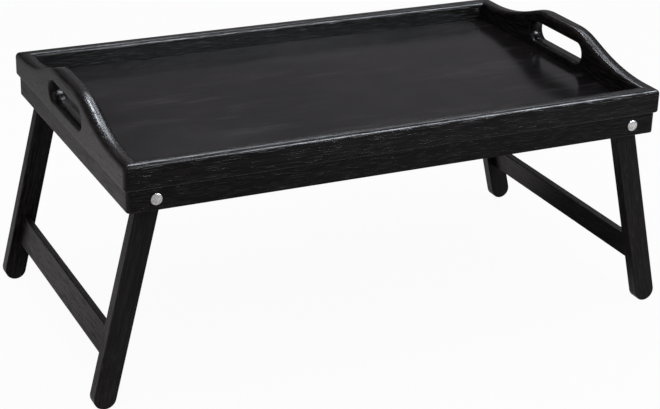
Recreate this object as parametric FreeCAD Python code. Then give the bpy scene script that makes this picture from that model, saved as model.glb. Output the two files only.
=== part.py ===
import FreeCAD, Part
import math
import os

# Bed tray table: a mitred tray with shaped hand-hold ends on a second, slightly smaller mitred
# frame, and two leg frames that swing on sleeve bolts through the long boards and fold flat
# underneath.  Millimetres.  X runs along the tray, Y towards its back, Z up.  The origin is on
# the floor under the middle of the tray, with the leg frames open.

# --- tray frame (upper tier) ------------------------------------------------------------------
tray_length = 500.0
tray_width = 307.0
rail_height = 21.0
rail_thickness = 15.5
top_round = 4.0            # round-over along the top edges
corner_extra = 0.4         # the upright corners are this much broader than the round-over
rail_foot_ease = 2.0       # easing under the overhang of the upper tier

# --- hand-hold ends ---------------------------------------------------------------------------
handle_rise = 22.0         # crest above the rail tops
handle_slope = 19.3        # degrees, steepest part of the sweep
crest_radius = 75.0        # hollow side down, where the crest turns into the sweep
sweep_span = 111.3         # from the end of the level crest to the foot of the sweep
shoulder = 21.0            # level stretch between the sweep and the corner
slot_length = 91.0
slot_height = 20.2
slot_end_flat = 1.2        # straight part of the slot's ends, between their rounded corners
grip_height = 11.6         # wood between the slot and the crest
slot_round = 2.0           # easing round the slot, both faces

# --- tray floor -------------------------------------------------------------------------------
floor_thickness = 3.0
floor_lip = 1.6            # wood below the floor groove, flush with the apron's inner faces
groove_depth = 4.5
groove_play = 0.1          # the groove is this much higher than the floor is thick
floor_edge_gap = 0.3       # between the floor's edge and the bottom of its groove

# --- apron frame (lower tier) -----------------------------------------------------------------
apron_height = 19.3
apron_thickness = 11.5
side_inset = 2.1           # apron behind the tray's front and back faces
end_inset = 2.8            # apron inside the tray's end faces
apron_foot_ease = 1.2      # outer lower edges
apron_inner_ease = 0.8     # inner lower edges, where the legs come to rest

# --- leg frames -------------------------------------------------------------------------------
leg_width = 19.6
leg_thickness = 12.0
leg_reach = 181.4          # pivot to the centre of the rounded foot
leg_ease = 1.0
pivot_from_end = 26.8      # pivot inside the tray's end face
pivot_above_apron_foot = 9.9
stop_gap = 0.2             # between an open leg and the apron edge that stops it
stretcher_drop = 126.4     # pivot to the stretcher's upper edge, along the leg
stretcher_height = 25.8
stretcher_thickness = 6.5
stretcher_ease = 1.0

# --- pivots -----------------------------------------------------------------------------------
sleeve_diameter = 6.0
sleeve_head_diameter = 9.8
sleeve_head_height = 1.2
sleeve_head_round = 0.5
sleeve_bore_depth = 12.0
running_clearance = 0.05   # radial, sleeve in wood and washers
face_clearance = 0.05      # between a leg and each washer beside it
spacer_diameter = 13.0
spacer_thickness = 0.4
washer_diameter = 12.0
washer_thickness = 0.8
screw_diameter = 4.0
screw_length = 10.0
screw_head_diameter = 8.0
screw_head_height = 2.2
screw_head_round = 0.9
screw_drive_diameter = 2.9
screw_drive_depth = 1.3

# --- dowels and pins --------------------------------------------------------------------------
glue_line = 0.05           # round dowels and pins
corner_dowel_diameter = 4.0
corner_dowel_length = 9.0
rail_dowel_height = 8.5    # lower corner dowel above the foot of the rails
rail_dowel_spacing = 6.0
apron_dowel_height = 6.4
apron_dowel_spacing = 6.5
stretcher_dowel_diameter = 3.5
stretcher_dowel_spacing = 12.0
dowel_in_leg = 5.0
dowel_in_stretcher = 12.0
pin_diameter = 1.8
pin_length = 29.0
pin_head_diameter = 3.0
pin_head_height = 0.8
pin_sink = 0.5             # pin heads below the wood
pin_inset = 6.0            # pins inside the tray's outer faces
side_pin_count = 5
side_pin_margin = 50.0     # outermost side pins from the ends of the tray
end_pin_margin = 70.0      # end pins from the front and back of the tray

# --- places that follow from the sizes above ---------------------------------------------------
slot_corner_radius = (slot_height - slot_end_flat) / 2
leg_half = leg_width / 2
apron_inner_from_end = end_inset + apron_thickness
stop_out = pivot_from_end - apron_inner_from_end + apron_inner_ease
stop_down = pivot_above_apron_foot - apron_inner_ease
stop_reach = leg_half + apron_inner_ease + stop_gap
splay = math.acos(stop_reach / math.hypot(stop_out, stop_down)) - math.atan2(stop_down, stop_out)
pivot_z = leg_reach * math.cos(splay) + leg_half
pivot_x = tray_length / 2 - pivot_from_end
apron_foot_z = pivot_z - pivot_above_apron_foot
rail_foot_z = apron_foot_z + apron_height
rail_top_z = rail_foot_z + rail_height
crest_z = rail_top_z + handle_rise
floor_under_z = rail_foot_z + floor_lip
apron_length = tray_length - 2 * end_inset
apron_width = tray_width - 2 * side_inset
corner_radius = top_round + corner_extra

# distances from the middle plane, outwards along Y, of the layers that each sleeve holds
apron_face_y = apron_width / 2
apron_back_y = apron_face_y - apron_thickness
spacer_back_y = apron_back_y - spacer_thickness
leg_face_y = spacer_back_y - face_clearance
leg_back_y = leg_face_y - leg_thickness
sleeve_end_y = leg_back_y - face_clearance
washer_back_y = sleeve_end_y - washer_thickness

TOL = 0.01
PAST = 40.0                # cutting tools run this far past the wood
MITRE_DEPTH = 3            # the wedges that part a mitre reach this many board thicknesses inwards
EDGE_STEPS = 4
HEX = 6
Y_AXIS = FreeCAD.Vector(0, 1, 0)
ENDS = {"left": -1, "right": 1}
SIDES = {"front": -1, "back": 1}


def vec(x, y, z):
    return FreeCAD.Vector(x, y, z)


def centred_box(length, width, low_z, high_z):
    return Part.makeBox(length, width, high_z - low_z, vec(-length / 2, -width / 2, low_z))


def prism(points, direction):
    """A closed outline of straight runs, swept along one direction."""
    outline = Part.makePolygon(points + points[:1])
    return Part.Face(outline).extrude(direction)


def points_on(edge):
    """A few places along an edge, both ends included."""
    first, last = edge.ParameterRange
    return [edge.valueAt(first + (last - first) * step / EDGE_STEPS) for step in range(EDGE_STEPS + 1)]


def edges_where(shape, test):
    return [edge for edge in shape.Edges if all(test(point) for point in points_on(edge))]


def eased(shape, radius, test):
    """The shape with every edge that lies where the test says rounded over."""
    return shape.makeFillet(radius, edges_where(shape, test))


def near(value, target):
    return abs(value - target) < TOL


def rounded_block(length, width, low_z, high_z, radius):
    """A block whose four upright corners are rounded."""
    block = centred_box(length, width, low_z, high_z)
    upright = [e for e in block.Edges if near(e.Length, high_z - low_z) and near(e.tangentAt(0).z ** 2, 1)]
    return block.makeFillet(radius, upright)


def on_rounded_block(length, width, radius):
    """Says whether a point lies on the side faces of such a block."""

    def test(point):
        across = (abs(point.x) - (length / 2 - radius), abs(point.y) - (width / 2 - radius))
        if min(across) > 0:
            return near(math.hypot(*across), radius)
        return near(abs(point.x), length / 2) or near(abs(point.y), width / 2)

    return test


def mitred(ring, length, width):
    """Parts a ring of boards at its four mitres and gives them by side: front, back, left, right."""
    reach = MITRE_DEPTH * max(rail_thickness, apron_thickness)
    outer_x = length / 2 + PAST
    outer_y = width / 2 + PAST
    inner_x = length / 2 - reach
    inner_y = width / 2 - reach
    low = ring.BoundBox.ZMin - PAST
    up = vec(0, 0, ring.BoundBox.ZLength + 2 * PAST)
    boards = {}
    for name, side in SIDES.items():
        wedge = prism(
            [
                vec(-outer_x, side * outer_y, low),
                vec(outer_x, side * outer_y, low),
                vec(inner_x, side * inner_y, low),
                vec(-inner_x, side * inner_y, low),
            ],
            up,
        )
        boards[name] = ring.common(wedge)
    for name, end in ENDS.items():
        wedge = prism(
            [
                vec(end * outer_x, -outer_y, low),
                vec(end * outer_x, outer_y, low),
                vec(end * inner_x, inner_y, low),
                vec(end * inner_x, -inner_y, low),
            ],
            up,
        )
        boards[name] = ring.common(wedge)
    return boards


def handle_outline(x):
    """The top of an end board above the rails: level crest, convex turn, straight, concave sweep."""
    slope = math.radians(handle_slope)
    sweep_end = tray_width / 2 - shoulder
    crest_half = sweep_end - sweep_span
    both_radii = (sweep_span - handle_rise / math.tan(slope)) / math.tan(slope / 2)
    sweep_radius = both_radii - crest_radius

    def on_crest_turn(angle):
        return (
            crest_half + crest_radius * math.sin(angle),
            crest_z - crest_radius * (1 - math.cos(angle)),
        )

    def on_sweep(angle):
        return (
            sweep_end - sweep_radius * math.sin(angle),
            rail_top_z + sweep_radius * (1 - math.cos(angle)),
        )

    def at(place, side):
        return vec(x, side * place[0], place[1])

    edges = [Part.LineSegment(vec(x, -crest_half, crest_z), vec(x, crest_half, crest_z)).toShape()]
    for side in SIDES.values():
        crest_edge = on_crest_turn(0)
        turn_end = on_crest_turn(slope)
        sweep_start = on_sweep(slope)
        sweep_foot = on_sweep(0)
        below = (sweep_foot[0], rail_top_z - rail_height / 2)
        turn = Part.Arc(at(crest_edge, side), at(on_crest_turn(slope / 2), side), at(turn_end, side))
        sweep = Part.Arc(at(sweep_start, side), at(on_sweep(slope / 2), side), at(sweep_foot, side))
        edges.append(turn.toShape())
        edges.append(Part.LineSegment(at(turn_end, side), at(sweep_start, side)).toShape())
        edges.append(sweep.toShape())
        edges.append(Part.LineSegment(at(sweep_foot, side), at(below, side)).toShape())
    edges.append(Part.LineSegment(at(below, -1), at(below, 1)).toShape())
    return Part.Wire(Part.__sortEdges__(edges))


def handle_hump(end):
    """What an end board holds above the level of the rails."""
    outer_x = end * tray_length / 2
    return Part.Face(handle_outline(outer_x)).extrude(vec(-end * rail_thickness, 0, 0))


def tray_ring():
    """The four boards of the upper tier as routed together, before they are parted at the mitres."""
    inner_length = tray_length - 2 * rail_thickness
    inner_width = tray_width - 2 * rail_thickness
    ring = rounded_block(tray_length, tray_width, rail_foot_z, rail_top_z, corner_radius)
    ring = ring.fuse([handle_hump(end) for end in ENDS.values()])
    middle = centred_box(inner_length, inner_width, rail_foot_z - PAST, crest_z + PAST)
    ring = ring.cut(middle).removeSplitter()
    on_outside = on_rounded_block(tray_length, tray_width, corner_radius)

    def on_inside(point):
        level = abs(point.x) < inner_length / 2 + TOL and abs(point.y) < inner_width / 2 + TOL
        return level and (near(abs(point.x), inner_length / 2) or near(abs(point.y), inner_width / 2))

    def along_the_top(point):
        return point.z > rail_top_z - TOL and (on_outside(point) or on_inside(point))

    def under_the_overhang(point):
        return near(point.z, rail_foot_z) and on_outside(point)

    ring = eased(ring, top_round, along_the_top)
    ring = eased(ring, rail_foot_ease, under_the_overhang)
    groove_length = inner_length + 2 * groove_depth
    groove_width = inner_width + 2 * groove_depth
    groove_top_z = floor_under_z + floor_thickness + groove_play
    groove = centred_box(groove_length, groove_width, floor_under_z, groove_top_z)
    lip_length = apron_length - 2 * apron_thickness
    lip_width = apron_width - 2 * apron_thickness
    set_back = centred_box(lip_length, lip_width, rail_foot_z - PAST, floor_under_z)
    return ring.cut([groove, set_back])


def hand_slot(end):
    """The through slot of one hand hold, as the block that is cut away."""
    low_z = crest_z - grip_height - slot_height
    start_x = end * tray_length / 2 - PAST
    block = Part.makeBox(2 * PAST, slot_length, slot_height, vec(start_x, -slot_length / 2, low_z))
    along_x = [edge for edge in block.Edges if near(edge.Length, 2 * PAST)]
    return block.makeFillet(slot_corner_radius, along_x)


def handle_panel(board, end):
    """An end board with its hand slot, eased on both faces."""
    slot = hand_slot(end)
    box = slot.BoundBox
    faces = (tray_length / 2, tray_length / 2 - rail_thickness)

    def round_the_slot(point):
        on_face = near(abs(point.x), faces[0]) or near(abs(point.x), faces[1])
        in_reach = abs(point.y) < slot_length / 2 + TOL and box.ZMin - TOL < point.z < box.ZMax + TOL
        return on_face and in_reach

    return eased(board.cut(slot), slot_round, round_the_slot)


def corner_dowels(length, width, thickness, low_z, spacing, extra=0.0):
    """Two dowels across each mitre of a ring of boards; extra is added to their radius and ends."""
    dowels = []
    for end in ENDS.values():
        for side in SIDES.values():
            along = vec(end, -side, 0).normalize()
            reach = corner_dowel_length / 2 + extra
            for level in (low_z, low_z + spacing):
                middle = vec(end * (length - thickness) / 2, side * (width - thickness) / 2, level)
                radius = corner_dowel_diameter / 2 + extra
                dowels.append(Part.makeCylinder(radius, 2 * reach, middle - along * reach, along))
    return dowels


def rail_dowels(extra=0.0):
    low_z = rail_foot_z + rail_dowel_height
    return corner_dowels(tray_length, tray_width, rail_thickness, low_z, rail_dowel_spacing, extra)


def apron_dowels(extra=0.0):
    low_z = apron_foot_z + apron_dowel_height
    return corner_dowels(apron_length, apron_width, apron_thickness, low_z, apron_dowel_spacing, extra)


def pin(x, y, extra=0.0):
    """A headed pin driven up through an apron board into the rail above it, or with extra, its hole."""
    head_z = apron_foot_z + pin_sink
    shank_length = pin_length - pin_head_height
    head_low_z = head_z - (pin_sink if extra else 0)
    head_height = head_z + pin_head_height + extra - head_low_z
    head = Part.makeCylinder(pin_head_diameter / 2 + extra, head_height, vec(x, y, head_low_z))
    shank_z = head_z + pin_head_height
    shank = Part.makeCylinder(pin_diameter / 2 + extra, shank_length + extra, vec(x, y, shank_z))
    return head.fuse(shank).removeSplitter()


def pin_places():
    """Where the pins of each apron board stand: {board: [(x, y), ...]}."""
    places = {}
    span = tray_length - 2 * side_pin_margin
    for name, side in SIDES.items():
        row_y = side * (tray_width / 2 - pin_inset)
        places[name] = [(span * (n / (side_pin_count - 1) - 0.5), row_y) for n in range(side_pin_count)]
    for name, end in ENDS.items():
        row_x = end * (tray_length / 2 - pin_inset)
        reach = tray_width / 2 - end_pin_margin
        places[name] = [(row_x, -reach), (row_x, reach)]
    return places


def apron_ring():
    """The four boards of the lower tier as assembled, before they are parted at the mitres."""
    inner_length = apron_length - 2 * apron_thickness
    inner_width = apron_width - 2 * apron_thickness
    ring = rounded_block(apron_length, apron_width, apron_foot_z, rail_foot_z, corner_radius)
    ring = ring.cut(centred_box(inner_length, inner_width, apron_foot_z - PAST, rail_foot_z + PAST))
    on_outside = on_rounded_block(apron_length, apron_width, corner_radius)

    def outer_foot(point):
        return near(point.z, apron_foot_z) and on_outside(point)

    def inner_foot(point):
        inside = abs(point.x) < inner_length / 2 + TOL and abs(point.y) < inner_width / 2 + TOL
        return near(point.z, apron_foot_z) and inside

    ring = eased(ring, apron_foot_ease, outer_foot)
    return eased(ring, apron_inner_ease, inner_foot)


def tray_floor():
    length = tray_length - 2 * (rail_thickness - groove_depth + floor_edge_gap)
    width = tray_width - 2 * (rail_thickness - groove_depth + floor_edge_gap)
    return centred_box(length, width, floor_under_z, floor_under_z + floor_thickness)


def turned(radius, near_y, far_y, side):
    """A cylinder on a pivot's axis at x = 0, z = 0, between two distances out from the middle."""
    return Part.makeCylinder(radius, far_y - near_y, vec(0, side * near_y, 0), Y_AXIS * side)


def pivot_bore(side):
    """The hole that a sleeve needs in the wood, at x = 0, z = 0."""
    radius = sleeve_diameter / 2 + running_clearance
    return turned(radius, washer_back_y, apron_face_y + PAST, side)


def rim_at(y, radius):
    """Says whether a point lies on the rim of a turned part at this distance out."""

    def test(point):
        return near(abs(point.y), y) and near(math.hypot(point.x, point.z), radius)

    return test


def pivot_sleeve(side):
    """The flat-headed sleeve seen outside: its barrel carries the leg, its bore takes the screw."""
    head_top_y = apron_face_y + sleeve_head_height
    head = turned(sleeve_head_diameter / 2, apron_face_y, head_top_y, side)
    head = eased(head, sleeve_head_round, rim_at(head_top_y, sleeve_head_diameter / 2))
    barrel = turned(sleeve_diameter / 2, sleeve_end_y, apron_face_y, side)
    bore_radius = screw_diameter / 2 + running_clearance
    bore = turned(bore_radius, sleeve_end_y, sleeve_end_y + sleeve_bore_depth, side)
    return head.fuse(barrel).cut(bore).removeSplitter()


def pivot_spacer(side):
    """The thin ring that keeps a leg off the apron."""
    ring = turned(spacer_diameter / 2, spacer_back_y, apron_back_y, side)
    return ring.cut(pivot_bore(side))


def pivot_washer(side):
    """The washer under the screw head, on the end of the sleeve."""
    ring = turned(washer_diameter / 2, washer_back_y, sleeve_end_y, side)
    hole = turned(screw_diameter / 2 + running_clearance, washer_back_y, sleeve_end_y, side)
    return ring.cut(hole)


def hexagon(radius, y):
    """The corners of a hexagon about the pivot's axis."""
    turns = [2 * math.pi * n / HEX for n in range(HEX)]
    return [vec(radius * math.cos(turn), y, radius * math.sin(turn)) for turn in turns]


def pivot_screw(side):
    """The screw that closes a sleeve from inside the leg."""
    head_low_y = washer_back_y - screw_head_height
    head = turned(screw_head_diameter / 2, head_low_y, washer_back_y, side)
    head = eased(head, screw_head_round, rim_at(head_low_y, screw_head_diameter / 2))
    shank = turned(screw_diameter / 2, washer_back_y, washer_back_y + screw_length, side)
    recess = prism(hexagon(screw_drive_diameter / 2, side * head_low_y), Y_AXIS * (side * screw_drive_depth))
    return head.fuse(shank).cut(recess).removeSplitter()


def leg_dowel_levels():
    middle = stretcher_drop + stretcher_height / 2
    return (-middle - stretcher_dowel_spacing / 2, -middle + stretcher_dowel_spacing / 2)


def stretcher_dowel(side, level, extra=0.0):
    """A dowel from a stretcher's end into a leg, with the pivot axis at x = 0, z = 0."""
    low_y = leg_back_y - dowel_in_stretcher - extra
    length = dowel_in_stretcher + dowel_in_leg + 2 * extra
    radius = stretcher_dowel_diameter / 2 + extra
    return Part.makeCylinder(radius, length, vec(0, side * low_y, level), Y_AXIS * side)


def leg(side):
    """A flat leg with both ends fully rounded, upright, with its pivot at x = 0, z = 0."""
    low_y = min(side * leg_face_y, side * leg_back_y)
    blank = Part.makeBox(leg_width, leg_thickness, leg_reach, vec(-leg_half, low_y, -leg_reach))
    top = Part.makeCylinder(leg_half, leg_thickness, vec(0, low_y, 0), Y_AXIS)
    foot = Part.makeCylinder(leg_half, leg_thickness, vec(0, low_y, -leg_reach), Y_AXIS)
    blank = blank.fuse([top, foot]).removeSplitter()

    def on_a_face(point):
        return near(abs(point.y), leg_face_y) or near(abs(point.y), leg_back_y)

    blank = eased(blank, leg_ease, on_a_face)
    holes = [stretcher_dowel(side, level, glue_line) for level in leg_dowel_levels()]
    return blank.cut([pivot_bore(side)] + holes)


def stretcher():
    """The board between the two legs of a frame, upright, with the pivot axis at x = 0, z = 0."""
    low_z = -stretcher_drop - stretcher_height
    board = Part.makeBox(
        stretcher_thickness,
        2 * leg_back_y,
        stretcher_height,
        vec(-stretcher_thickness / 2, -leg_back_y, low_z),
    )
    long_edges = [edge for edge in board.Edges if near(edge.Length, 2 * leg_back_y)]
    board = board.makeFillet(stretcher_ease, long_edges)
    holes = [
        stretcher_dowel(side, level, glue_line) for side in SIDES.values() for level in leg_dowel_levels()
    ]
    return board.cut(holes)


def opened(shape, end):
    """Swings a leg-frame piece out to its stop and sets it on the pivot of one end."""
    placed = shape.copy()
    placed.rotate(vec(0, 0, 0), Y_AXIS, -end * math.degrees(splay))
    placed.translate(vec(end * pivot_x, 0, pivot_z))
    return placed


def at_pivot(shape, end):
    """Sets a piece of a pivot on its axis, unturned."""
    placed = shape.copy()
    placed.translate(vec(end * pivot_x, 0, pivot_z))
    return placed


def tray_parts():
    parts = {}
    pins = pin_places()
    pin_holes = [pin(x, y, glue_line) for row in pins.values() for x, y in row]
    upper = mitred(tray_ring().cut(rail_dowels(glue_line) + pin_holes), tray_length, tray_width)
    for name in SIDES:
        parts[name + "_rail"] = upper[name]
    for name, end in ENDS.items():
        parts[name + "_handle_panel"] = handle_panel(upper[name], end)
    parts["tray_floor"] = tray_floor()
    parts["rail_corner_dowels"] = Part.makeCompound(rail_dowels())
    bores = [at_pivot(pivot_bore(side), end) for side in SIDES.values() for end in ENDS.values()]
    lower = mitred(apron_ring().cut(apron_dowels(glue_line) + pin_holes + bores), apron_length, apron_width)
    for name in SIDES:
        parts[name + "_apron"] = lower[name]
    for name in ENDS:
        parts[name + "_end_apron"] = lower[name]
    parts["apron_corner_dowels"] = Part.makeCompound(apron_dowels())
    for name, row in pins.items():
        board = name + "_apron" if name in SIDES else name + "_end_apron"
        parts[board + "_pins"] = Part.makeCompound([pin(x, y) for x, y in row])
    return parts


def pivot_parts():
    parts = {}
    for end_name, end in ENDS.items():
        for side_name, side in SIDES.items():
            place = end_name + "_" + side_name + "_pivot_"
            parts[place + "sleeve"] = at_pivot(pivot_sleeve(side), end)
            parts[place + "spacer"] = at_pivot(pivot_spacer(side), end)
            parts[place + "washer"] = at_pivot(pivot_washer(side), end)
            parts[place + "screw"] = at_pivot(pivot_screw(side), end)
    return parts


def leg_frame_parts():
    parts = {}
    for end_name, end in ENDS.items():
        for side_name, side in SIDES.items():
            parts[end_name + "_" + side_name + "_leg"] = opened(leg(side), end)
        parts[end_name + "_stretcher"] = opened(stretcher(), end)
        places = [(side, level) for side in SIDES.values() for level in leg_dowel_levels()]
        dowels = [opened(stretcher_dowel(side, level), end) for side, level in places]
        parts[end_name + "_stretcher_dowels"] = Part.makeCompound(dowels)
    return parts


def main():
    parts = {}
    parts.update(tray_parts())
    parts.update(pivot_parts())
    parts.update(leg_frame_parts())
    os.makedirs("parts", exist_ok=True)
    for name, shape in parts.items():
        shape.exportStep("parts/" + name + ".step")
        print(name, len(shape.Solids), "solids", round(shape.Volume, 1), "mm3", shape.isValid())
    print("splay", round(math.degrees(splay), 3), "pivot", round(pivot_x, 3), round(pivot_z, 3))
    print("apron foot", round(apron_foot_z, 3), "rail foot", round(rail_foot_z, 3))
    print("rail top", round(rail_top_z, 3))
    print("floor top", round(floor_under_z + floor_thickness, 3), "crest", round(crest_z, 3))


main()
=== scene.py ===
"""Looks of the bed tray table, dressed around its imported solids.

The table is a mitred tray with two shaped hand-hold ends on a second, slightly smaller mitred
frame, and two leg frames on sleeve bolts.  All of the wood is stained black-brown under a thin
satin lacquer.  Metres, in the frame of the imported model: X runs along the tray, Y towards its
back and Z up from the floor that the open legs stand on.
"""

from __future__ import annotations

import logging
import math
from dataclasses import dataclass, field
from enum import Enum
from typing import Any, Mapping, Sequence, Union

import bpy
import numpy as np
from mathutils import Matrix, Vector


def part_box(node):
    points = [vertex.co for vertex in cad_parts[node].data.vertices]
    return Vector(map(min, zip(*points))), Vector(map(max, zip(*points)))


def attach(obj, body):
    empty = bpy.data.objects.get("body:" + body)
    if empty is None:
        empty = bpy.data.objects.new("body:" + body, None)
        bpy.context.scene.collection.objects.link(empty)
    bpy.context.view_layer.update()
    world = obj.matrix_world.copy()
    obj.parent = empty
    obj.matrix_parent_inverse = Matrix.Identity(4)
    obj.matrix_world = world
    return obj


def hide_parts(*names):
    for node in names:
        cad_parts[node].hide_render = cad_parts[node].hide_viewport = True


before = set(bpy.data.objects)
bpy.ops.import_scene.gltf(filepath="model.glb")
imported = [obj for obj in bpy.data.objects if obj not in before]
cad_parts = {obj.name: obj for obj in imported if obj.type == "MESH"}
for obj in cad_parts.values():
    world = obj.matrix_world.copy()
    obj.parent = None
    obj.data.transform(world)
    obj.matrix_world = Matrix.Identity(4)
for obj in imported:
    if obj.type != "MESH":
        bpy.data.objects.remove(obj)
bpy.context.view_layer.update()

LOG = logging.getLogger("bed_tray_table")

MM = 0.001
IMAGE_WIDTH = 660
SENSOR_WIDTH = 36.0

LACQUER_IOR = 1.45

Pair = tuple[float, float]
Triple = tuple[float, float, float]
Colour = Triple
Number = Union[float, int]

WHITE: Colour = (1.0, 1.0, 1.0)
BLACK: Colour = (0.0, 0.0, 0.0)
COOL: Colour = (0.86, 0.92, 1.0)


# --- shader expressions ------------------------------------------------------------------------


class Signal:
    """One output of a shader node, on which Python's operators add Math nodes."""

    def __init__(self, shader: "Shader", socket: bpy.types.NodeSocket) -> None:
        """Keeps the socket and the shader that it belongs to."""
        self.shader = shader
        self.socket = socket

    def _math(self, operation: str, *terms: "Signal | Number") -> "Signal":
        """Adds one Math node over these terms and gives its value."""
        return self.shader.node("ShaderNodeMath", {"operation": operation}, dict(enumerate(terms)))

    def __add__(self, other: "Signal | Number") -> "Signal":
        """self + other."""
        return self._math("ADD", self, other)

    def __radd__(self, other: Number) -> "Signal":
        """other + self."""
        return self._math("ADD", other, self)

    def __sub__(self, other: "Signal | Number") -> "Signal":
        """self - other."""
        return self._math("SUBTRACT", self, other)

    def __rsub__(self, other: Number) -> "Signal":
        """other - self."""
        return self._math("SUBTRACT", other, self)

    def __mul__(self, other: "Signal | Number") -> "Signal":
        """self * other."""
        return self._math("MULTIPLY", self, other)

    def __rmul__(self, other: Number) -> "Signal":
        """other * self."""
        return self._math("MULTIPLY", other, self)

    def __truediv__(self, other: "Signal | Number") -> "Signal":
        """self / other."""
        return self._math("DIVIDE", self, other)

    def __rtruediv__(self, other: Number) -> "Signal":
        """other / self."""
        return self._math("DIVIDE", other, self)

    def __pow__(self, power: Number) -> "Signal":
        """self to a power."""
        return self._math("POWER", self, power)

    def ramped(self, low: Number, high: Number) -> "Signal":
        """A smooth step from 0 at low to 1 at high, held outside; low may be above high.

        Args:
            low: the value that gives 0.
            high: the value that gives 1.

        Returns:
            The stepped value.
        """
        return self.shader.node(
            "ShaderNodeMapRange",
            {"interpolation_type": "SMOOTHSTEP", "clamp": True},
            {"Value": self, "From Min": low, "From Max": high, "To Min": 0.0, "To Max": 1.0},
        )

    def held(self) -> "Signal":
        """The value kept between 0 and 1."""
        return self.shader.node("ShaderNodeClamp", {}, {"Value": self})

    def size(self) -> "Signal":
        """The value without its sign."""
        return self._math("ABSOLUTE", self)


Term = Union[Signal, Number, Sequence[float]]


class Shader:
    """Builds the node tree of one material or of the world."""

    def __init__(self, tree: bpy.types.NodeTree) -> None:
        """Empties the tree and keeps it."""
        self.tree = tree
        tree.nodes.clear()

    @classmethod
    def of_material(cls, name: str) -> tuple["Shader", bpy.types.Material]:
        """Makes a new material.

        Args:
            name: the material's name.

        Returns:
            The shader of its empty tree, and the material.
        """
        material = bpy.data.materials.new(name)
        material.use_nodes = True
        return cls(material.node_tree), material

    def node(
        self,
        kind: str,
        settings: Mapping[str, Any] | None = None,
        values: Mapping[Any, Term] | None = None,
        output: int | str = 0,
    ) -> Signal:
        """Adds a node of any kind.

        Args:
            kind: the node's type name.
            settings: its properties, which are set first.
            values: what its sockets hold or are linked to, by socket name or number.
            output: the output that is wanted, by name or number.

        Returns:
            That output, or the first input of a node that has no outputs.
        """
        made = self.tree.nodes.new(kind)
        for key, value in (settings or {}).items():
            setattr(made, key, value)
        for key, value in (values or {}).items():
            if isinstance(value, Signal):
                self.tree.links.new(value.socket, made.inputs[key])
            else:
                made.inputs[key].default_value = value
        return Signal(self, made.outputs[output] if made.outputs else made.inputs[0])

    def mixed(self, share: Signal | Number, first: Term, second: Term) -> Signal:
        """A colour between two colours.

        Args:
            share: 0 gives the first colour and 1 the second.
            first: a colour or a link.
            second: a colour or a link.

        Returns:
            The mixed colour.
        """
        values = {0: share, 6: self._rgba(first), 7: self._rgba(second)}
        return self.node("ShaderNodeMix", {"data_type": "RGBA"}, values, output=2)

    @staticmethod
    def _rgba(colour: Term) -> Term:
        """A plain colour with an alpha of 1; a link stays as it is."""
        return colour if isinstance(colour, Signal) else (*colour, 1.0)

    def place(self, turn: Triple = (0.0, 0.0, 0.0), shift: Triple = (0.0, 0.0, 0.0)) -> Signal:
        """Object coordinates, moved and then turned.

        Args:
            turn: angles about X, Y and Z in radians.
            shift: what is added before the turn, in metres.

        Returns:
            The place as a vector.
        """
        place = self.node("ShaderNodeTexCoord", output="Object")
        moved = self.node("ShaderNodeMapping", {}, {"Vector": place, "Location": shift})
        return self.node("ShaderNodeMapping", {}, {"Vector": moved, "Rotation": turn})

    def facing(self, turn: Triple) -> tuple[Signal, Signal, Signal]:
        """The surface's direction in a board's own axes.

        Args:
            turn: angles about X, Y and Z in radians.

        Returns:
            Its three components.
        """
        normal = self.node("ShaderNodeTexCoord", output="Normal")
        turned = self.node("ShaderNodeMapping", {}, {"Vector": normal, "Rotation": turn})
        return self.split(turned)

    def split(self, vector: Signal) -> tuple[Signal, Signal, Signal]:
        """The three components of a vector."""
        outputs = self.node("ShaderNodeSeparateXYZ", {}, {0: vector}).socket.node.outputs
        return Signal(self, outputs[0]), Signal(self, outputs[1]), Signal(self, outputs[2])

    def stretched(self, vector: Signal, along: float, across: float) -> Signal:
        """A place with its first axis scaled by one number and the others by another."""
        scale = (along, across, across)
        return self.node("ShaderNodeMapping", {}, {"Vector": vector, "Scale": scale})

    def noise(self, vector: Signal, scale: float, detail: float, rough: float) -> Signal:
        """Smooth noise about 0.5.

        Args:
            vector: where it is read.
            scale: features per unit of the vector.
            detail: octaves added.
            rough: how strong each octave is beside the last.

        Returns:
            The noise.
        """
        values = {"Vector": vector, "Scale": scale, "Detail": detail, "Roughness": rough}
        return self.node("ShaderNodeTexNoise", {}, values)

    def bumped(
        self, height: Signal, distance: float, strength: float = 1.0, under: Signal | None = None
    ) -> Signal:
        """The surface's direction over a height field.

        Args:
            height: the height, in units of distance.
            distance: metres that a height of 1 stands for.
            strength: how much of the bump is kept.
            under: a direction that is already bent, on which this field lies.

        Returns:
            The bent direction.
        """
        values = {"Height": height, "Distance": distance, "Strength": strength}
        if under is not None:
            values["Normal"] = under
        return self.node("ShaderNodeBump", {}, values)

    def surface(self, **values: Term) -> None:
        """Ends the tree in one Principled BSDF; a name's underscores stand for spaces."""
        named = {key.replace("_", " "): value for key, value in values.items()}
        if "Base Color" in named:
            named["Base Color"] = self._rgba(named["Base Color"])
        self.finish(self.node("ShaderNodeBsdfPrincipled", {}, named))

    def finish(self, shading: Signal) -> None:
        """Links a shading to a new material output."""
        self.node("ShaderNodeOutputMaterial", {}, {"Surface": shading})


# --- finishes ----------------------------------------------------------------------------------


@dataclass(frozen=True)
class Cloud:
    """An even noise that steps from 0 to 1 between two of its values."""

    scale: float
    detail: float
    low: float
    high: float
    rough: float = 0.5

    def drawn(self, shader: Shader, place: Signal) -> Signal:
        """The pattern at a place, with scale features per metre."""
        return shader.noise(place, self.scale, self.detail, self.rough).ramped(self.low, self.high)


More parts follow.
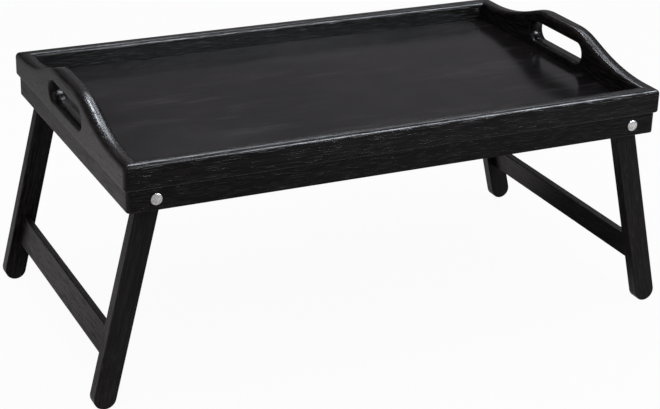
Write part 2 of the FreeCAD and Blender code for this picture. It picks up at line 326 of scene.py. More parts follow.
@dataclass(frozen=True)
class Streaks:
    """A noise that is drawn out along the first axis, and steps as a Cloud does."""

    along: float
    across: float
    detail: float
    low: float
    high: float
    rough: float = 0.5

    def drawn(self, shader: Shader, place: Signal) -> Signal:
        """The pattern at a place, with so many features per metre along and across."""
        drawn_out = shader.stretched(place, self.along, self.across)
        return shader.noise(drawn_out, 1.0, self.detail, self.rough).ramped(self.low, self.high)


class Grain(Enum):
    """Which way the grain of a board runs."""

    ALONG_TRAY = "along the tray"
    ACROSS_TRAY = "across the tray"
    DOWN_LEG = "down a leg"
    ALONG_STRETCHER = "along a stretcher"

    def turn(self, tilt: float) -> Triple:
        """The turn that brings the grain to the pattern's first axis.

        Args:
            tilt: how far the board leans from upright towards +X, in radians.

        Returns:
            Angles about X, Y and Z.
        """
        quarter = math.pi / 2
        return {
            Grain.ALONG_TRAY: (0.0, 0.0, 0.0),
            Grain.ACROSS_TRAY: (0.0, 0.0, -quarter),
            Grain.DOWN_LEG: (0.0, quarter - tilt, 0.0),
            Grain.ALONG_STRETCHER: (0.0, -tilt, -quarter),
        }[self]


class Edges(Enum):
    """Which edges of a board are worn a little paler."""

    STRAIGHT = "all the edges of a straight board"
    CURVED = "those along the curved outline of a board"


@dataclass(frozen=True)
class Crown:
    """How a board's top is sanded: an arch across its thickness that only the light shows."""

    middle: float
    radius: float = 12.0 * MM

    def arch(self, across: Signal) -> Signal:
        """The arch's height below its middle line: ww / 2R for a distance w from that line.

        Args:
            across: the place across the board, measured from the tray's middle.

        Returns:
            The height in metres, 0 at the middle line and negative beside it.
        """
        away = across.size() - self.middle
        return away * away * (-0.5 / self.radius)


@dataclass(frozen=True)
class Arris:
    """How a board's foot is eased: its face bends inwards over the last stretch above the foot, and a
    pale colour there is a painted highlight, standing in for the light that the eased edge catches.
    """

    foot: float
    reach: float = 1.1 * MM
    # Painted highlight: this pale colour along the foot stands in for light caught by the eased edge.
    pale_wear_and_highlight: Colour = (0.150, 0.144, 0.144)
    highlight_share: float = 0.85

    def bend(self, height: Signal) -> Signal:
        """How far the face lies inwards: dd / 2r, d below the start of a stretch r high.

        Args:
            height: the height above the studio's floor.

        Returns:
            The offset in metres, 0 above the stretch and negative in it.
        """
        below = (self.foot + self.reach - height).held()
        return below * below * (-0.5 / self.reach)

    def painted_highlight(self, shader: Shader, colour: Signal, height: Signal) -> Signal:
        """The colour, with a painted highlight that grows paler towards the foot.

        Args:
            shader: the tree that it belongs to.
            colour: the wood's own colour.
            height: the height above the studio's floor.

        Returns:
            The new colour.
        """
        # Painted highlight: pale colour blended in near the foot, standing in for light on the eased
        # edge.
        near_foot = height.ramped(self.foot + self.reach, self.foot)
        return shader.mixed(self.highlight_share * near_foot, colour, self.pale_wear_and_highlight)


@dataclass(frozen=True)
class StainedWood:
    """Black-brown stain with open pores under a thin satin lacquer, worn paler on its edges."""

    name: str
    deep: Colour = (0.0012, 0.0011, 0.0012)
    streak: Colour = (0.0135, 0.0122, 0.0120)
    tan: Colour = (0.0260, 0.0165, 0.0110)
    pale_wear_and_highlight: Colour = (0.0420, 0.0360, 0.0320)
    rough: float = 0.29
    specular: float = 0.13
    figure_share: float = 0.25
    patch_share: float = 0.65
    warmed: float = 0.35
    flecked: float = 0.45
    worn_edge: float = 0.45
    pore_depth: float = 0.10 * MM
    fibres: Streaks = Streaks(28.0, 600.0, 4.0, 0.38, 0.66, rough=0.66)
    figure: Streaks = Streaks(2.6, 38.0, 3.0, 0.32, 0.70)
    patches: Streaks = Streaks(5.0, 45.0, 2.0, 0.35, 0.62)
    pores: Streaks = Streaks(62.0, 1300.0, 1.5, 0.55, 0.66)
    dashes: Streaks = Streaks(85.0, 1050.0, 1.0, 0.54, 0.68)
    warmth: Cloud = Cloud(17.0, 2.0, 0.55, 0.78)
    wear: Cloud = Cloud(160.0, 3.0, 0.25, 0.75)

    def dressed(
        self,
        grain: Grain,
        tilt: float = 0.0,
        seed: float = 0.0,
        edges: Edges = Edges.STRAIGHT,
        crown: Crown | None = None,
        arris: Arris | None = None,
    ) -> bpy.types.Material:
        """Makes the finish for one board.

        Args:
            grain: which way its grain runs.
            tilt: how far the board leans from upright towards +X, in radians.
            seed: metres by which its figure is moved from that of other boards.
            edges: which of its edges are worn paler.
            crown: the shallow arch of its top, if it has one.
            arris: the easing of its foot, with its painted highlight, if it has one.

        Returns:
            The material.
        """
        shader, material = Shader.of_material(self.name)
        turn = grain.turn(tilt)
        place = shader.place(turn, (seed, 2.1 * seed, 0.7 * seed))
        fibres = self.fibres.drawn(shader, place)
        figure = self.figure.drawn(shader, place)
        strands = ((1.0 - self.figure_share) * fibres + self.figure_share * figure).held()
        patches = 1.0 - self.patch_share + self.patch_share * self.patches.drawn(shader, place)
        dashes = self.dashes.drawn(shader, place) * patches
        pores = self.pores.drawn(shader, place)
        warm = self.warmth.drawn(shader, place) * strands
        worn = self._worn(shader, turn, edges) * self.wear.drawn(shader, place)
        colour = shader.mixed(strands, self.deep, self.streak)
        colour = shader.mixed(self.warmed * warm, colour, self.tan)
        colour = shader.mixed(self.flecked * dashes, colour, self.pale_wear_and_highlight)
        colour = shader.mixed(self.worn_edge * worn, colour, self.pale_wear_and_highlight)
        shaped = None
        if crown or arris:
            _, across, height = shader.split(shader.place(turn))
        if crown:
            shaped = shader.bumped(crown.arch(across), 1.0)
        if arris:
            shaped = shader.bumped(arris.bend(height), 1.0, under=shaped)
            # The arris adds a painted highlight along the foot.
            colour = arris.painted_highlight(shader, colour, height)
        relief = 0.35 * strands - pores + 0.4 * dashes
        shader.surface(
            Base_Color=colour,
            Roughness=(self.rough + 0.10 * pores - 0.06 * strands - 0.05 * worn).held(),
            Specular_IOR_Level=self.specular,
            IOR=LACQUER_IOR,
            Normal=shader.bumped(relief, self.pore_depth, 0.6, shaped),
        )
        return material

    @staticmethod
    def _worn(shader: Shader, turn: Triple, edges: Edges) -> Signal:
        """Where a board's rounded edges are: 1 at half-way round an edge and 0 on its faces.

        With a, b and c the squares of the surface direction's parts in the board's axes, this is
        4(ab + bc + ca), or for a board with a curved outline, which is thin along b, 4b(1 - b).

        Args:
            shader: the tree that it belongs to.
            turn: the turn that brings the board's axes to the pattern's.
            edges: which of the board's edges are meant.

        Returns:
            The share of full wear.
        """
        a, b, c = (part * part for part in shader.facing(turn))
        if edges is Edges.STRAIGHT:
            return (4.0 * (a * b + b * c + c * a)).held()
        return (4.0 * b * (1.0 - b)).held()


@dataclass(frozen=True)
class LacqueredBoard:
    """The thin floor board: the same black in a smoother film, with faint fibres, smears and dust."""

    name: str
    deep: Colour = (0.0030, 0.0024, 0.0029)
    pale: Colour = (0.0170, 0.0155, 0.0165)
    smear: Colour = (0.0480, 0.0450, 0.0460)
    dust: Colour = (0.035, 0.032, 0.031)
    rough: float = 0.14
    specular: float = 0.12
    cloud_share: float = 0.55
    smeared: float = 0.8
    dusted: float = 0.22
    fibre_depth: float = 0.03 * MM
    fibres: Streaks = Streaks(22.0, 420.0, 4.0, 0.3, 0.7, rough=0.6)
    clouds: Cloud = Cloud(7.5, 3.0, 0.30, 0.72, rough=0.6)
    specks: Cloud = Cloud(1500.0, 1.0, 0.62, 0.76)
    rubs: Streaks = Streaks(8.0, 34.0, 5.0, 0.50, 0.74, rough=0.65)

    def dressed(self, seed: float) -> bpy.types.Material:
        """Makes the finish.

        Args:
            seed: metres by which its figure is moved.

        Returns:
            The material.
        """
        shader, material = Shader.of_material(self.name)
        place = shader.place(shift=(seed, seed, 0.0))
        fibres = self.fibres.drawn(shader, place)
        clouds = self.clouds.drawn(shader, place)
        specks = self.specks.drawn(shader, place)
        rubs = self.rubs.drawn(shader, place)
        mottle = ((1.0 - self.cloud_share) * fibres + self.cloud_share * clouds).held()
        colour = shader.mixed(mottle, self.deep, self.pale)
        colour = shader.mixed(self.smeared * rubs * fibres, colour, self.smear)
        colour = shader.mixed(self.dusted * specks, colour, self.dust)
        shader.surface(
            Base_Color=colour,
            Roughness=(self.rough + 0.05 * clouds + 0.06 * rubs).held(),
            Specular_IOR_Level=self.specular,
            IOR=LACQUER_IOR,
            Normal=shader.bumped(0.5 * fibres + 0.3 * specks, self.fibre_depth, 0.5),
        )
        return material


@dataclass(frozen=True)
class TurnedMetal:
    """A turned metal face: fine rings about its axis, slanted strokes, nicks and a duller patina."""

    name: str
    bright: Colour
    dull: Colour
    rough: float = 0.30
    ring_pitch: float = 0.16 * MM
    ring_depth: float = 0.012 * MM
    stroke_slant: float = math.radians(38)
    strokes: Streaks = Streaks(260.0, 1700.0, 2.0, 0.36, 0.64)
    patina: Cloud = Cloud(520.0, 3.0, 0.34, 0.72, rough=0.6)
    nicks: Cloud = Cloud(2600.0, 1.0, 0.66, 0.78)

    def dressed(self, centre: Triple) -> bpy.types.Material:
        """Makes the finish for one turned piece.

        Args:
            centre: a point on its axis, which runs along Y, in metres.

        Returns:
            The material.
        """
        shader, material = Shader.of_material(self.name)
        place = shader.place(shift=tuple(-part for part in centre))
        x, _, z = shader.split(place)
        radius = (x * x + z * z) ** 0.5
        rings = shader.node(
            "ShaderNodeTexNoise",
            {"noise_dimensions": "1D"},
            {"W": radius / self.ring_pitch, "Scale": 1.0, "Detail": 2.0},
        ).ramped(0.32, 0.68)
        strokes = self.strokes.drawn(shader, shader.place((0.0, self.stroke_slant, 0.0)))
        patina = self.patina.drawn(shader, place)
        nicks = self.nicks.drawn(shader, place)
        dulled = (0.45 * patina + 0.20 * rings + 0.45 * strokes).held()
        colour = shader.mixed(dulled, self.bright, self.dull)
        shader.surface(
            Base_Color=colour,
            Metallic=1.0,
            Roughness=(self.rough + 0.10 * patina + 0.05 * rings - 0.05 * nicks).held(),
            Normal=shader.bumped(0.6 * rings - 0.8 * nicks, self.ring_depth, 0.6),
        )
        return material


@dataclass(frozen=True)
class DrawnSteel:
    """The pins: drawn wire with lengthwise lines and a grey oxide."""

    name: str = "drawn_steel"
    bright: Colour = (0.42, 0.41, 0.40)
    dull: Colour = (0.20, 0.19, 0.185)
    line_depth: float = 0.01 * MM
    lines: Streaks = Streaks(60.0, 5200.0, 2.0, 0.3, 0.7)
    oxide: Cloud = Cloud(900.0, 3.0, 0.4, 0.7)

    def dressed(self) -> bpy.types.Material:
        """Makes the finish, with its lines along Z.

        Returns:
            The material.
        """
        shader, material = Shader.of_material(self.name)
        place = shader.place((0.0, math.pi / 2, 0.0))
        lines = self.lines.drawn(shader, place)
        oxide = self.oxide.drawn(shader, place)
        shader.surface(
            Base_Color=shader.mixed(oxide, self.bright, self.dull),
            Metallic=1.0,
            Roughness=(0.30 + 0.16 * oxide + 0.06 * lines).held(),
            Normal=shader.bumped(lines, self.line_depth, 0.5),
        )
        return material


@dataclass(frozen=True)
class MouldedNylon:
    """The spacers: black nylon with a fine moulded bloom and shallow pits."""

    name: str = "moulded_nylon"
    deep: Colour = (0.010, 0.010, 0.011)
    bloom: Colour = (0.028, 0.028, 0.030)
    clouding: Cloud = Cloud(700.0, 3.0, 0.35, 0.75)
    pit_scale: float = 5200.0
    pit_depth: float = 0.01 * MM

    def dressed(self) -> bpy.types.Material:
        """Makes the finish.

        Returns:
            The material.
        """
        shader, material = Shader.of_material(self.name)
        place = shader.place()
        cloud = self.clouding.drawn(shader, place)
        pitted = shader.noise(place, self.pit_scale, 1.0, 0.5)
        shader.surface(
            Base_Color=shader.mixed(0.6 * cloud, self.deep, self.bloom),
            Roughness=(0.46 + 0.12 * cloud).held(),
            Specular_IOR_Level=0.4,
            Normal=shader.bumped(pitted, self.pit_depth, 0.5),
        )
        return material


@dataclass(frozen=True)
class PlainBeech:
    """The dowels: bare beech with short dark flecks along the grain."""

    name: str
    pale: Colour = (0.56, 0.38, 0.23)
    deep: Colour = (0.40, 0.25, 0.14)
    fleck: Colour = (0.22, 0.12, 0.06)
    fibre_depth: float = 0.04 * MM
    fibres: Streaks = Streaks(60.0, 1900.0, 3.0, 0.3, 0.7)
    flecks: Streaks = Streaks(420.0, 2600.0, 1.0, 0.62, 0.72)

    def dressed(self, grain: Grain) -> bpy.types.Material:
        """Makes the finish.

        Args:
            grain: which way the dowels lie.

        Returns:
            The material.
        """
        shader, material = Shader.of_material(self.name)
        place = shader.place(grain.turn(0.0))
        fibres = self.fibres.drawn(shader, place)
        flecks = self.flecks.drawn(shader, place)
        colour = shader.mixed(fibres, self.pale, self.deep)
        shader.surface(
            Base_Color=shader.mixed(0.7 * flecks, colour, self.fleck),
            Roughness=(0.60 + 0.10 * fibres).held(),
            Specular_IOR_Level=0.3,
            Normal=shader.bumped(0.5 * fibres - flecks, self.fibre_depth, 0.6),
        )
        return material


# --- surfaces ----------------------------------------------------------------------------------


def grid_faces(rows: int, columns: int, wrap_columns: bool = False) -> np.ndarray:
    """The four-sided faces of a grid of points that is numbered row by row.

    Args:
        rows: points along the first parameter.
        columns: points along the second parameter.
        wrap_columns: whether the last column joins the first.

    Returns:
        One row of four point numbers for each face.
    """
    row, column = np.meshgrid(
        np.arange(rows - 1), np.arange(columns if wrap_columns else columns - 1), indexing="ij"
    )
    following = (column + 1) % columns
    corners = (
        row * columns + column,
        row * columns + following,
        (row + 1) * columns + following,
        (row + 1) * columns + column,
    )
    return np.stack(corners, axis=-1).reshape(-1, 4)


@dataclass
class Surface:
    """A mesh as arrays: its points, and its faces in groups of equal corner counts."""

    points: np.ndarray
    faces: list[np.ndarray]

    def made(self, name: str, smooth_below: float = math.radians(35)) -> bpy.types.Object:
        """Makes the Blender object, shaded smooth except across sharp edges.

        Args:
            name: the piece's name.
            smooth_below: edges that bend by less than this angle are shaded smooth.

        Returns:
            The object, at the origin.
        """
        mesh = bpy.data.meshes.new(name)
        faces = [face for group in self.faces for face in group.tolist()]
        mesh.from_pydata(self.points.tolist(), [], faces)
        mesh.validate()
        mesh.shade_smooth()
        mesh.set_sharp_from_angle(angle=smooth_below)
        mesh.update()
        made = bpy.data.objects.new(name, mesh)
        bpy.context.scene.collection.objects.link(made)
        return made


def turned_surface(
    radii: np.ndarray, reaches: np.ndarray, centre: Triple, side: int, steps: int = 72
) -> Surface:
    """A profile turned about an axis along Y.

    The point at profile place i and angle a is centre + (r_i cos a, side * y_i, r_i sin a), with
    y_i measured outwards from the middle plane.  The first and last profile places lie on the
    axis, where the surface closes in a fan.

    Args:
        radii: the profile's distances from the axis, 0 at both ends.
        reaches: the profile's distances out from the middle plane.
        centre: where the axis crosses the middle plane.
        side: -1 for the front of the tray, 1 for its back.
        steps: divisions of a full turn.

    Returns:
        The closed surface.
    """
    angle = np.linspace(0.0, 2.0 * np.pi, steps, endpoint=False)
    ring_radii = radii[1:-1, None]
    ring_reaches = np.broadcast_to(side * reaches[1:-1, None], (len(radii) - 2, steps))
    rings = np.stack(
        (ring_radii * np.cos(angle), ring_reaches, ring_radii * np.sin(angle)), axis=-1
    ).reshape(-1, 3)
    poles = np.array([[0.0, side * reaches[0], 0.0], [0.0, side * reaches[-1], 0.0]])
    points = np.concatenate((rings, poles)) + np.array(centre)
    quads = grid_faces(len(radii) - 2, steps, wrap_columns=True)
    around = np.arange(steps)
    onward = (around + 1) % steps
    last_ring = (len(radii) - 3) * steps
    first_pole = np.full(steps, len(rings))
    last_pole = first_pole + 1
    caps = np.concatenate(
        (
            np.stack((first_pole, onward, around), axis=-1),
            np.stack((last_pole, last_ring + around, last_ring + onward), axis=-1),
        )
    )
    if side > 0:
        quads, caps = quads[:, ::-1], caps[:, ::-1]
    return Surface(points, [quads, caps])


def slab(upper: np.ndarray, lower: np.ndarray) -> Surface:
    """Closes two grids of points, one above the other, with a rim.

    Args:
        upper: rows by columns by 3, its columns running to the left of its rows seen from above.
        lower: the same grid of points on the underside.

    Returns:
        The closed surface.
    """
    rows, columns = upper.shape[:2]
    count = rows * columns
    number = np.arange(count).reshape(rows, columns)
    loop = np.concatenate((number[:-1, 0], number[-1, :-1], number[:0:-1, -1], number[0, :0:-1]))
    onward = np.roll(loop, -1)
    faces = grid_faces(rows, columns)
    rim = np.stack((loop, onward, onward + count, loop + count), axis=-1)
    points = np.concatenate((upper.reshape(-1, 3), lower.reshape(-1, 3)))
    return Surface(points, [faces[:, ::-1], faces + count, rim[:, ::-1]])


def dress(piece: bpy.types.Object, material: bpy.types.Material) -> bpy.types.Object:
    """Puts a material in every slot of a piece, or in a new slot if it has none.

    Args:
        piece: a CAD node or a new piece.
        material: its finish.

    Returns:
        The piece.
    """
    if not piece.material_slots:
        piece.data.materials.append(material)
    for slot in piece.material_slots:
        slot.material = material
    LOG.info("%s: %s", piece.name, material.name)
    return piece


def dress_node(node: str, material: bpy.types.Material) -> None:
    """Dresses a CAD node, which keeps its own shape."""
    dress(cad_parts[node], material)


def middle_of(node: str) -> Vector:
    """The middle of a CAD node's box, in metres."""
    low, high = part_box(node)
    return (low + high) / 2


def stand_in_for(
    node: str, surface: Surface, material: bpy.types.Material, body: str
) -> bpy.types.Object:
    """Puts a new surface in the place of a CAD node.

    Args:
        node: the CAD node that it stands for.
        surface: its shape, in the place of the node.
        material: its finish.
        body: the CAD body that it moves with.

    Returns:
        The new piece.
    """
    piece = dress(surface.made(node + "_dressed"), material)
    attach(piece, body)
    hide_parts(node)
    return piece


# --- sub-assemblies ----------------------------------------------------------------------------


@dataclass
class TrayFrame:
    """The upper tier: two long rails and two shaped hand-hold ends, mitred and dowelled."""

    wood: StainedWood = StainedWood("tray_stain", rough=0.26, pore_depth=0.07 * MM)
    open_wood: StainedWood = StainedWood("rail_stain", flecked=0.34, pore_depth=0.12 * MM)
    dowels: PlainBeech = PlainBeech("rail_dowel_beech")
    crest_crown: float = 11.0 * MM

    def build(self) -> None:
        """Dresses the boards and their dowels."""
        for number, node in enumerate(("front_rail", "back_rail")):
            finish = self.open_wood.dressed(
                Grain.ALONG_TRAY,
                seed=0.31 * (number + 1),
                crown=Crown(abs(middle_of(node).y)),
                # The eased foot carries a painted highlight.
                arris=Arris(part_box(node)[0].z),
            )
            dress_node(node, finish)
        for number, node in enumerate(("left_handle_panel", "right_handle_panel")):
            finish = self.wood.dressed(
                Grain.ACROSS_TRAY,
                seed=1.17 + 0.43 * number,
                edges=Edges.CURVED,
                crown=Crown(abs(middle_of(node).x), self.crest_crown),
            )
            dress_node(node, finish)
        dress_node("rail_corner_dowels", self.dowels.dressed(Grain.ALONG_TRAY))


@dataclass
class TrayFloor:
    """The thin board let into the rails, which sags by a hair between them."""

    finish: LacqueredBoard = LacqueredBoard("floor_lacquer")
    sag: float = 0.22 * MM
    ripple: float = 0.03 * MM
    rows: int = 60
    columns: int = 36

    def build(self) -> None:
        """Makes the board in the place of its CAD node."""
        material = self.finish.dressed(seed=0.05)
        stand_in_for("tray_floor", self._surface(), material, "tray")

    def _surface(self) -> Surface:
        """The board as two grids.

        With s and t from -1 to 1 along and across the board, its top and its underside are
        lowered by (1 - ss)(1 - tt) times the sag plus a ripple, which is its own height times
        (1 + sin(9s + 2t) cos(5t - 1.5s)) / 2.

        Returns:
            The closed board.
        """
        low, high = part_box("tray_floor")
        s, t = np.meshgrid(
            np.linspace(-1.0, 1.0, self.rows), np.linspace(-1.0, 1.0, self.columns), indexing="ij"
        )
        inside = (1.0 - s**2) * (1.0 - t**2)
        waves = 0.5 + 0.5 * np.sin(9.0 * s + 2.0 * t) * np.cos(5.0 * t - 1.5 * s)
        dip = inside * (self.sag + self.ripple * waves)
        x = (low.x + high.x) / 2 + s * (high.x - low.x) / 2
        y = (low.y + high.y) / 2 + t * (high.y - low.y) / 2
        upper = np.stack((x, y, high.z - dip), axis=-1)
        lower = np.stack((x, y, low.z - dip), axis=-1)
        return slab(upper, lower)


@dataclass
class ApronFrame:
    """The lower tier: four mitred boards, their dowels, and the pins that hold it to the rails."""

    wood: StainedWood = StainedWood("apron_stain", rough=0.36, pore_depth=0.16 * MM)
    dark_wood: StainedWood = StainedWood(
        "long_apron_stain",
        deep=(0.0008, 0.0007, 0.0007),
        streak=(0.0080, 0.0073, 0.0072),
        rough=0.36,
        specular=0.10,
        flecked=0.28,
        pore_depth=0.11 * MM,
    )
    dowels: PlainBeech = PlainBeech("apron_dowel_beech")
    steel: DrawnSteel = DrawnSteel()

    def build(self) -> None:
        """Dresses the boards, dowels and pins."""
        for number, node in enumerate(("front_apron", "back_apron")):
            dress_node(node, self.dark_wood.dressed(Grain.ALONG_TRAY, seed=2.03 + 0.37 * number))
        for number, node in enumerate(("left_end_apron", "right_end_apron")):
            dress_node(node, self.wood.dressed(Grain.ACROSS_TRAY, seed=3.11 + 0.41 * number))
        dress_node("apron_corner_dowels", self.dowels.dressed(Grain.ALONG_TRAY))
        pin_finish = self.steel.dressed()
        for board in ("front_apron", "back_apron", "left_end_apron", "right_end_apron"):
            dress_node(board + "_pins", pin_finish)


class Flank(Enum):
    """One of two opposite sides of the tray, with the sign that its places have."""

    @property
    def label(self) -> str:
        """The flank's name, as the CAD nodes have it."""
        return self.name.lower()


class End(Flank):
    """One end of the tray, with the sign of its X."""

    LEFT = -1
    RIGHT = 1


class Side(Flank):
    """One long side of the tray, with the sign of its Y."""

    FRONT = -1
    BACK = 1


@dataclass
class Pivot:
    """One leg's sleeve bolt: the flat-headed sleeve, a spacer, a washer and a screw."""

    end: End
    side: Side
    nickel: TurnedMetal = TurnedMetal("satin_nickel", (0.68, 0.67, 0.65), (0.22, 0.215, 0.205))
    zinc: TurnedMetal = TurnedMetal("zinc_steel", (0.50, 0.51, 0.53), (0.34, 0.35, 0.37))
    nylon: MouldedNylon = MouldedNylon()
    head_radius: float = 4.9 * MM
    head_height: float = 1.2 * MM
    head_round: float = 0.5 * MM
    crown: float = 0.16 * MM
    groove_place: float = 0.86
    groove_depth: float = 0.05 * MM
    groove_width: float = 0.16 * MM
    under_round: float = 0.1 * MM
    barrel_radius: float = 3.0 * MM
    barrel_bevel: float = 0.2 * MM
    bore_radius: float = 2.05 * MM
    bore_bevel: float = 0.1 * MM
    bore_depth: float = 12.0 * MM

    def build(self) -> None:
        """Makes the sleeve and dresses the other pieces."""
        stem = f"{self.end.label}_{self.side.label}_pivot_"
        middle = middle_of(stem + "sleeve")
        centre = (middle.x, 0.0, middle.z)
        nickel = self.nickel.dressed(centre)
        stand_in_for(stem + "sleeve", self._sleeve(centre, stem), nickel, "tray")
        zinc = self.zinc.dressed(centre)
        dress_node(stem + "washer", zinc)
        dress_node(stem + "screw", zinc)
        dress_node(stem + "spacer", self.nylon.dressed())

    def _sleeve(self, centre: Triple, stem: str) -> Surface:
        """The sleeve, turned from one profile.

        The head's face is a parabola that falls by the crown from its middle to the rim, less a
        shallow groove, depth exp(-uu) with u the distance from it in its own widths, and the rim
        is a quarter circle.  Under the head come the barrel and its blind bore.

        Args:
            centre: where the pivot's axis crosses the tray's middle plane.
            stem: what the names of this pivot's pieces start with.

        Returns:
            The closed surface.
        """
        low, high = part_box(stem + "sleeve")
        reach = max(abs(low.y), abs(high.y))
        start = min(abs(low.y), abs(high.y))
        flat = self.head_radius - self.head_round
        across = np.linspace(0.0, flat, 20)
        beside_groove = (across - self.groove_place * flat) / self.groove_width
        groove = self.groove_depth * np.exp(-(beside_groove**2))
        face = reach - self.crown * (across / flat) ** 2 - groove
        turn = np.linspace(0.0, np.pi / 2, 9)[1:]
        rim_radii = flat + self.head_round * np.sin(turn)
        rim = face[-1] - self.head_round * (1.0 - np.cos(turn))
        under = reach - self.head_height
        rest = np.array(
            [
                (self.head_radius, under + self.under_round),
                (self.head_radius - self.under_round, under),
                (self.barrel_radius, under),
                (self.barrel_radius, start + self.barrel_bevel),
                (self.barrel_radius - self.barrel_bevel, start),
                (self.bore_radius + self.bore_bevel, start),
                (self.bore_radius, start + self.bore_bevel),
                (self.bore_radius, start + self.bore_depth),
                (0.0, start + self.bore_depth),
            ]
        )
        radii = np.concatenate((across, rim_radii, rest[:, 0]))
        reaches = np.concatenate((face, rim, rest[:, 1]))
        return turned_surface(radii, reaches, centre, self.side.value)


@dataclass
class LegFrame:
    """Two legs with round ends and the board between them, swung out to their stop."""

    end: End
    wood: StainedWood = StainedWood("leg_stain", rough=0.36, pore_depth=0.14 * MM)
    dowels: PlainBeech = PlainBeech("stretcher_dowel_beech")
    leg_width: float = 19.6 * MM

    def build(self) -> None:
        """Dresses the legs, the stretcher and its dowels."""
        stem = self.end.label
        tilt = -self.end.value * self._splay(f"{stem}_front_leg")
        for number, side in enumerate(Side):
            seed = 4.07 + 0.53 * number + self.end.value
            finish = self.wood.dressed(Grain.DOWN_LEG, tilt, seed, Edges.CURVED)
            dress_node(f"{stem}_{side.label}_leg", finish)
        finish = self.wood.dressed(Grain.ALONG_STRETCHER, tilt, 5.3 + self.end.value)
        dress_node(f"{stem}_stretcher", finish)
        dress_node(f"{stem}_stretcher_dowels", self.dowels.dressed(Grain.ACROSS_TRAY))

    def _splay(self, leg: str) -> float:
        """How far the open legs lean outwards.

        Both ends of a leg are round, so its box is larger than the run between their centres by
        the leg's width, along the tray and upwards alike.

        Args:
            leg: the name of one leg's node.

        Returns:
            The angle from upright, in radians.
        """
        low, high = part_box(leg)
        return math.atan2(high.x - low.x - self.leg_width, high.z - low.z - self.leg_width)


# --- studio ------------------------------------------------------------------------------------


@dataclass(frozen=True)
class Softbox:
    """One soft lamp that faces the table, or a card that shows only in mirrored light."""

    name: str
    place: Triple
    width: float
    height: float
    radiance: float
    tint: Colour = WHITE
    mirrored_only: bool = False

    def build(self, aim: Vector) -> None:
        """Hangs the lamp.

        The lamp's power is pi * area * radiance, as for a plain matt emitter.

        Args:
            aim: the point that it faces.
        """
        lamp = bpy.data.lights.new(self.name, "AREA")
        lamp.shape = "RECTANGLE"
        lamp.size, lamp.size_y = self.width, self.height
        lamp.energy = math.pi * self.width * self.height * self.radiance
        lamp.color = self.tint
        made = bpy.data.objects.new(self.name, lamp)
        made.location = self.place
        made.rotation_euler = (Vector(self.place) - aim).to_track_quat("Z", "Y").to_euler()
        made.visible_camera = False
        made.visible_diffuse = not self.mirrored_only
        bpy.context.scene.collection.objects.link(made)


@dataclass(frozen=True)
class Glow:
    """A soft brighter patch of the room's wall, seen in a direction."""

    towards: Triple
    level: float
    sharpness: float

    def seen(self, parts: Sequence[Signal]) -> Signal:
        """level * (d . c)^sharpness for a direction d and the patch's direction c.

        Args:
            parts: the three components of the direction.

        Returns:
            The patch's share of the room's level.
        """
        towards = Vector(self.towards).normalized()
        cosine = parts[0] * towards[0] + parts[1] * towards[1] + parts[2] * towards[2]
        return cosine.held() ** self.sharpness * self.level


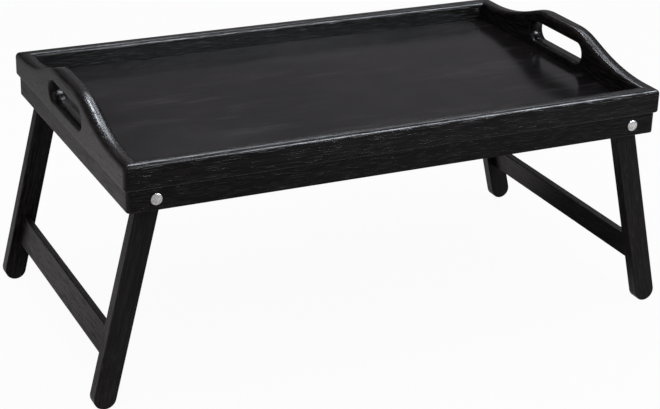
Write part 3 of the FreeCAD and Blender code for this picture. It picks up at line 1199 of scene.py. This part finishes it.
@dataclass
class Studio:
    """The pale floor, the lamps, the room and the camera.

    An edge is a pair of distances from the centre of a patch: up to the first the patch is whole,
    and from the second on it is gone.  Those of the shade count in its own half widths.
    """

    floor_reach: float = 30.0
    matt_white: Colour = (0.9, 0.9, 0.9)
    clear_share: float = 0.95
    mirrored_share: float = 0.5
    pool_centre: Pair = (0.0, -0.4)
    pool_edge: Pair = (0.55, 1.25)
    far_level: float = 0.08
    dim_centre: Pair = (-0.25, -0.80)
    dim_edge: Pair = (0.20, 0.55)
    dim_share: float = 0.9
    shade: Pair = (0.31, 0.19)
    shade_edge: Pair = (0.80, 1.25)
    shade_level: float = 0.07
    mirrored_tint: Colour = (1.0, 0.93, 0.945)
    room_tint: Colour = (0.99, 0.955, 1.0)
    horizon: float = 0.07
    zenith: float = 0.42
    room_steps: Pair = (0.15, 0.75)
    aim: Triple = (0.0, 0.0, 0.2)
    glows: Sequence[Glow] = (Glow((0.50, 0.85, 0.20), 0.26, 26.0),)
    lamps: Sequence[Softbox] = field(
        default_factory=lambda: (
            Softbox("overhead", (0.0, -0.1, 2.4), 2.4, 2.0, 1.5),
            Softbox("key", (-0.9, -1.5, 1.7), 0.9, 0.7, 3.0),
            Softbox("crest_card", (0.02, 0.43, 1.09), 0.20, 0.18, 92.0, COOL, mirrored_only=True),
            Softbox("rail_card", (0.21, 0.57, 0.85), 0.34, 0.15, 18.0, COOL, mirrored_only=True),
            Softbox("back_card", (0.62, 0.44, 1.02), 0.40, 0.30, 11.0, COOL, mirrored_only=True),
            Softbox("front_strip", (0.60, -0.87, 0.78), 0.9, 0.2, 115.0, COOL, mirrored_only=True),
        )
    )

    def build(self) -> None:
        """Sets up the view transform, floor, world, lamps and camera."""
        bpy.context.scene.view_settings.view_transform = "Standard"
        self._floor()
        self._world()
        for lamp in self.lamps:
            lamp.build(Vector(self.aim))
        PhotoCamera().build()

    def _floor(self) -> None:
        """A wide plain sheet, white as written, that still takes the table's shadow.

        Camera, mirrored and transmitted rays see mostly its own white.  For mirrored rays that white
        carries painted light and shade: a painted pool of light that fades far from the table, painted
        shade under it and painted shade where the photographer stands.  The rest lights it as matt
        white, and from below it is clear.
        """
        reach = self.floor_reach
        points = np.array(
            [(-reach, -reach, 0.0), (reach, -reach, 0.0), (reach, reach, 0.0), (-reach, reach, 0.0)]
        )
        sheet = Surface(points, [np.array([[0, 1, 2, 3]])]).made("studio_floor")
        shader, material = Shader.of_material("studio_white")
        x, y, _ = shader.split(shader.place())
        wide, deep = self.shade
        # Painted shade under the table, a painted pool of light and painted shade where the
        # photographer stands, all seen by mirrored rays.
        under_table = self._patch(x / wide, y / deep, (0.0, 0.0), self.shade_edge)
        pool = self._patch(x, y, self.pool_centre, self.pool_edge)
        dim = self._patch(x, y, self.dim_centre, self.dim_edge)
        fall = (self.far_level + (1.0 - self.far_level) * pool) * (1.0 - self.dim_share * dim)
        fall = fall * (1.0 - under_table) + self.shade_level * under_table
        path = shader.node("ShaderNodeLightPath").socket.node.outputs
        clear_ray = Signal(shader, path["Is Camera Ray"]) + Signal(shader, path["Is Transmission Ray"])
        mirrored = Signal(shader, path["Is Glossy Ray"])
        level = (clear_ray.held() + mirrored * fall).held()
        tint = shader.mixed(mirrored, WHITE, self.mirrored_tint)
        colour = shader.mixed(level, BLACK, tint)
        white = shader.node("ShaderNodeEmission", {}, {"Color": colour, "Strength": 1.0})
        matt = shader.node("ShaderNodeBsdfDiffuse", {}, {"Color": (*self.matt_white, 1.0)})
        own_share = self.mirrored_share + (1.0 - self.mirrored_share) * under_table
        seen = (self.clear_share * clear_ray + own_share * mirrored).held()
        lit = shader.node("ShaderNodeMixShader", {}, {0: seen, 1: matt, 2: white})
        clear = shader.node("ShaderNodeBsdfTransparent")
        below = shader.node("ShaderNodeNewGeometry", output="Backfacing")
        shader.finish(shader.node("ShaderNodeMixShader", {}, {0: below, 1: lit, 2: clear}))
        dress(sheet, material)

    @staticmethod
    def _patch(x: Signal, y: Signal, centre: Pair, edge: Pair) -> Signal:
        """A round patch: 1 up to one distance from its centre, and 0 from another on.

        Args:
            x: the place along the tray.
            y: the place across it.
            centre: the patch's centre.
            edge: the two distances, the nearer first.

        Returns:
            The patch's share.
        """
        along, across = x - centre[0], y - centre[1]
        near, far = edge
        return ((along * along + across * across) ** 0.5).ramped(far, near)

    def _world(self) -> None:
        """A dim room, paler towards its ceiling, with a soft glow behind the table."""
        world = bpy.data.worlds.new("studio_room")
        world.use_nodes = True
        bpy.context.scene.world = world
        shader = Shader(world.node_tree)
        parts = shader.split(shader.node("ShaderNodeTexCoord", output="Generated"))
        level = self.horizon + (self.zenith - self.horizon) * parts[2].ramped(*self.room_steps)
        for glow in self.glows:
            level = level + glow.seen(parts)
        room = shader.node(
            "ShaderNodeBackground", {}, {"Color": (*self.room_tint, 1.0), "Strength": level}
        )
        shader.node("ShaderNodeOutputWorld", {}, {"Surface": room})


@dataclass(frozen=True)
class PhotoCamera:
    """The photograph's viewpoint, as fitted to the table's outline: angles in degrees."""

    azimuth: float = -25.835
    elevation: float = 23.238
    roll: float = 1.558
    distance: float = 1.59908
    target: Triple = (0.00121, 0.0, 0.08504)
    focal_pixels: float = 1717.2
    clip: Pair = (0.05, 100.0)

    def build(self) -> None:
        """Makes the camera and sets it as the scene's."""
        azimuth, elevation, roll = (math.radians(a) for a in (self.azimuth, self.elevation, self.roll))
        back = Vector(
            (
                math.sin(azimuth) * math.cos(elevation),
                -math.cos(azimuth) * math.cos(elevation),
                math.sin(elevation),
            )
        )
        level = Vector((0.0, 0.0, 1.0)).cross(back).normalized()
        upright = back.cross(level)
        right = math.cos(roll) * level + math.sin(roll) * upright
        up = math.cos(roll) * upright - math.sin(roll) * level
        camera = bpy.data.cameras.new("photo_camera")
        camera.sensor_fit = "HORIZONTAL"
        camera.sensor_width = SENSOR_WIDTH
        camera.lens = self.focal_pixels * SENSOR_WIDTH / IMAGE_WIDTH
        camera.clip_start, camera.clip_end = self.clip
        made = bpy.data.objects.new("photo_camera", camera)
        place = Matrix((right, up, back)).transposed().to_4x4()
        place.translation = Vector(self.target) + back * self.distance
        made.matrix_world = place
        bpy.context.scene.collection.objects.link(made)
        bpy.context.scene.camera = made


def main() -> None:
    """Builds the studio and every sub-assembly in order."""
    logging.basicConfig(level=logging.INFO, format="%(name)s: %(message)s")
    Studio().build()
    TrayFrame().build()
    TrayFloor().build()
    ApronFrame().build()
    for end in End:
        LegFrame(end).build()
        for side in Side:
            Pivot(end, side).build()


if __name__ == "__main__":
    main()
